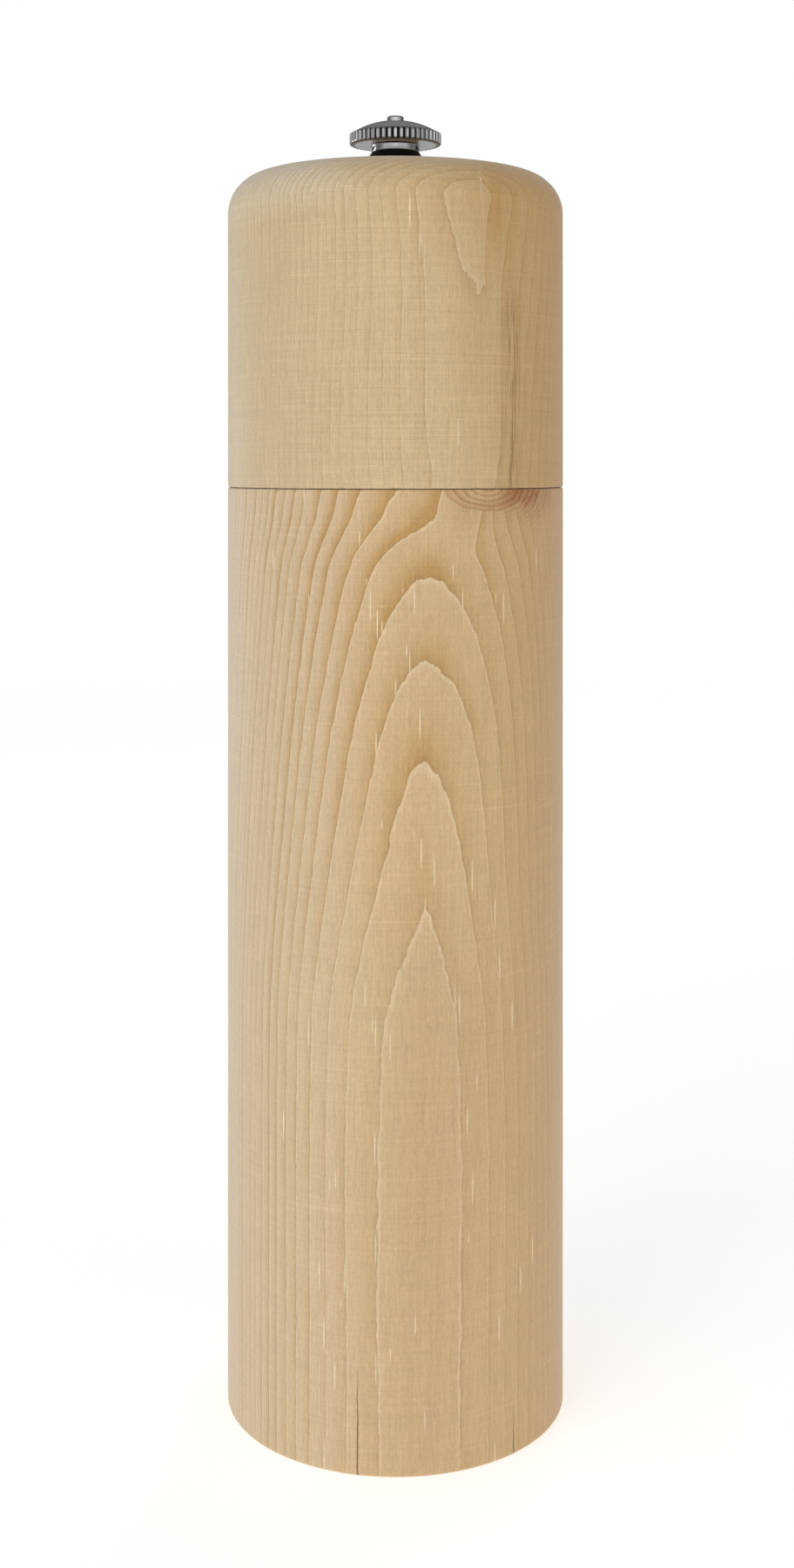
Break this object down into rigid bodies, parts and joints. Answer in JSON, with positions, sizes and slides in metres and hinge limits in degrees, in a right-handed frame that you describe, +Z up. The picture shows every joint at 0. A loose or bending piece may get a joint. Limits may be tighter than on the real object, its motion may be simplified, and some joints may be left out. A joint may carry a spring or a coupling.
{
  "type": "pepper mill",
  "caption": "Tall cylindrical wooden pepper mill: a domed head turns on the body, with a knurled nut on a square shaft that sets the gap of the burrs in the base.",
  "frame": {"origin": "centre of the base, on the surface that the mill stands on", "axes": "+Z up along the shaft; the crossbar over the base runs along X"},
  "size_m": [0.07, 0.07, 0.2671],
  "materials": {
    "wood_body": "matte",
    "wood_head": "matte",
    "moulded_nylon": "satin",
    "burr_steel": "satin",
    "pressed_steel": "satin",
    "spring_steel": "polished",
    "zinc_screw": "polished",
    "shaft_steel": "satin",
    "brass": "satin",
    "white_nylon": "satin",
    "black_collar": "satin",
    "plated_knob": "polished"
  },
  "bodies": {
    "body": {"body_shell": "wood_body", "burr_housing": "moulded_nylon", "stator": "burr_steel", "bridge": "pressed_steel", "spring_seat": "white_nylon", "spring": "spring_steel", "crossbar": "pressed_steel", "crossbar_screws": "zinc_screw"},
    "pivot": {"pivot_bush": "brass"},
    "drive": {"shaft": "shaft_steel", "rotor": "burr_steel", "rotor_clip": "spring_steel", "thrust_washer": "white_nylon"},
    "head": {"head_shell": "wood_head", "head_bush": "brass", "drive_plate": "pressed_steel", "drive_plate_screws": "zinc_screw"},
    "collar": {"knob_washer": "black_collar"},
    "nut": {"knob": "plated_knob", "knob_insert": "brass"}
  },
  "joints": [
    {"name": "head_turn", "type": "hinge", "parent": "body", "child": "pivot", "pos_m": [0, 0, 0.005], "axis": [0, 0, 1], "continuous": true},
    {"name": "grind_adjust", "type": "slide", "parent": "pivot", "child": "drive", "axis": [0, 0, 1], "range_m": [0, 0.0016], "deforming": ["spring"]},
    {"name": "head_lift", "type": "slide", "parent": "pivot", "child": "head", "axis": [0, 0, 1], "range_m": [0, 0.1]},
    {"name": "knob_lift", "type": "slide", "parent": "head", "child": "collar", "axis": [0, 0, 1], "range_m": [0, 0.02]},
    {"name": "knob_turn", "type": "hinge", "parent": "collar", "child": "nut", "pos_m": [0, 0, 0.262], "axis": [0, 0, 1], "range_deg": [-720, 0]}
  ],
  "couplings": [
    {"joint": "knob_turn", "follows": "grind_adjust", "rad_per_m": -7854}
  ]
}
